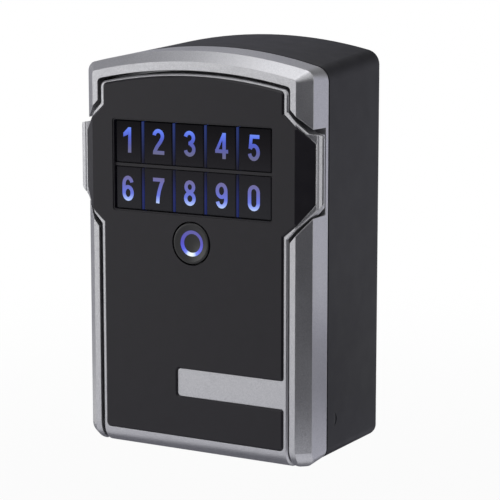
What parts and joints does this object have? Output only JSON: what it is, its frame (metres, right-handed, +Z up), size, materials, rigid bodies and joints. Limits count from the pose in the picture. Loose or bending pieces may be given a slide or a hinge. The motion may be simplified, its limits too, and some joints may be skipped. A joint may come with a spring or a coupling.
{
  "type": "wall key box",
  "caption": "Wall key box: arched metal case, drop-down keypad door with finger ears, motor-driven latch bolt, battery bay, holes for wall screws.",
  "frame": {"origin": "middle of the four wall screw holes, on the wall plane at the back of the case", "axes": "+Y into the wall, so the door faces -Y; +Z up; +X to the right as seen from the front"},
  "size_m": [0.089, 0.0552, 0.132],
  "materials": {
    "case_paint": "satin charcoal paint",
    "frame_silver": "satin silver paint with a fine sparkle",
    "door_silver": "satin silver paint with a fine sparkle",
    "zinc_screw": "zinc plated",
    "plain_steel": "ground",
    "seal_rubber": "matt",
    "face_black": "fine satin texture",
    "blue_light_guide": "clear, lit blue",
    "board_green": "solder mask",
    "dome_steel": "bright",
    "lamp_clear": "clear",
    "motor_steel": "drawn can",
    "gearbox_brass": "milled plates",
    "pinion_brass": "cut teeth",
    "bolt_steel": "plated",
    "guide_steel": "pressed sheet",
    "cover_black": "moulded, fine grain",
    "lid_black": "moulded, fine grain",
    "battery_wrap": "printed sleeve without lettering",
    "contact_nickel": "nickel plated",
    "insulator_black": "plain",
    "button_black": "satin",
    "blue_light_ring": "clear, lit blue",
    "key_black": "satin with a clear digit"
  },
  "bodies": {
    "case": {"rear_case": "case_paint", "front_frame": "frame_silver", "frame_screws": "zinc_screw", "strike_plate": "plain_steel", "strike_screws": "zinc_screw", "hinge_pins": "plain_steel", "door_seal": "seal_rubber"},
    "door": {"door_bezel": "door_silver", "face_panel": "face_black", "keypad_light_guide": "blue_light_guide", "circuit_board": "board_green", "key_switches": "dome_steel", "light_emitters": "lamp_clear", "board_screws": "zinc_screw", "latch_motor": "motor_steel", "motor_gearbox": "gearbox_brass", "latch_guide": "guide_steel", "inner_cover": "cover_black", "inner_cover_screws": "zinc_screw", "battery": "battery_wrap", "battery_contacts": "contact_nickel", "jump_contact_block": "insulator_black", "jump_contacts": "contact_nickel"},
    "unlock_button": {"unlock_button": "button_black", "button_light_ring": "blue_light_ring"},
    "latch_bolt": {"latch_bolt": "bolt_steel"},
    "drive_pinion": {"drive_pinion": "pinion_brass", "output_shaft": "plain_steel"},
    "battery_cover": {"battery_cover": "lid_black"},
    "key_0": {"key_0": "key_black"},
    "key_1": {"key_1": "key_black"},
    "key_2": {"key_2": "key_black"},
    "key_3": {"key_3": "key_black"},
    "key_4": {"key_4": "key_black"},
    "key_5": {"key_5": "key_black"},
    "key_6": {"key_6": "key_black"},
    "key_7": {"key_7": "key_black"},
    "key_8": {"key_8": "key_black"},
    "key_9": {"key_9": "key_black"}
  },
  "joints": [
    {"name": "door_hinge", "type": "hinge", "parent": "case", "child": "door", "pos_m": [0, -0.05, -0.0614], "axis": [1, 0, 0], "range_deg": [0, 100]},
    {"name": "unlock_button_press", "type": "slide", "parent": "door", "child": "unlock_button", "axis": [0, 1, 0], "range_m": [0, 0.0008], "stiffness_N_per_m": 1500},
    {"name": "latch_bolt_slide", "type": "slide", "parent": "door", "child": "latch_bolt", "axis": [0, 0, 1], "range_m": [0, 0.007]},
    {"name": "drive_pinion_turn", "type": "hinge", "parent": "door", "child": "drive_pinion", "pos_m": [-0.0007, -0.042, 0.02], "axis": [1, 0, 0], "range_deg": [0, 96]},
    {"name": "battery_cover_slide", "type": "slide", "parent": "door", "child": "battery_cover", "axis": [0, 0, 1], "range_m": [0, 0.012]},
    {"name": "key_0_press", "type": "slide", "parent": "door", "child": "key_0", "axis": [0, 1, 0], "range_m": [0, 0.0008], "stiffness_N_per_m": 1500},
    {"name": "key_1_press", "type": "slide", "parent": "door", "child": "key_1", "axis": [0, 1, 0], "range_m": [0, 0.0008], "stiffness_N_per_m": 1500},
    {"name": "key_2_press", "type": "slide", "parent": "door", "child": "key_2", "axis": [0, 1, 0], "range_m": [0, 0.0008], "stiffness_N_per_m": 1500},
    {"name": "key_3_press", "type": "slide", "parent": "door", "child": "key_3", "axis": [0, 1, 0], "range_m": [0, 0.0008], "stiffness_N_per_m": 1500},
    {"name": "key_4_press", "type": "slide", "parent": "door", "child": "key_4", "axis": [0, 1, 0], "range_m": [0, 0.0008], "stiffness_N_per_m": 1500},
    {"name": "key_5_press", "type": "slide", "parent": "door", "child": "key_5", "axis": [0, 1, 0], "range_m": [0, 0.0008], "stiffness_N_per_m": 1500},
    {"name": "key_6_press", "type": "slide", "parent": "door", "child": "key_6", "axis": [0, 1, 0], "range_m": [0, 0.0008], "stiffness_N_per_m": 1500},
    {"name": "key_7_press", "type": "slide", "parent": "door", "child": "key_7", "axis": [0, 1, 0], "range_m": [0, 0.0008], "stiffness_N_per_m": 1500},
    {"name": "key_8_press", "type": "slide", "parent": "door", "child": "key_8", "axis": [0, 1, 0], "range_m": [0, 0.0008], "stiffness_N_per_m": 1500},
    {"name": "key_9_press", "type": "slide", "parent": "door", "child": "key_9", "axis": [0, 1, 0], "range_m": [0, 0.0008], "stiffness_N_per_m": 1500}
  ],
  "couplings": [
    {"joint": "drive_pinion_turn", "follows": "latch_bolt_slide", "rad_per_m": 238.1}
  ]
}
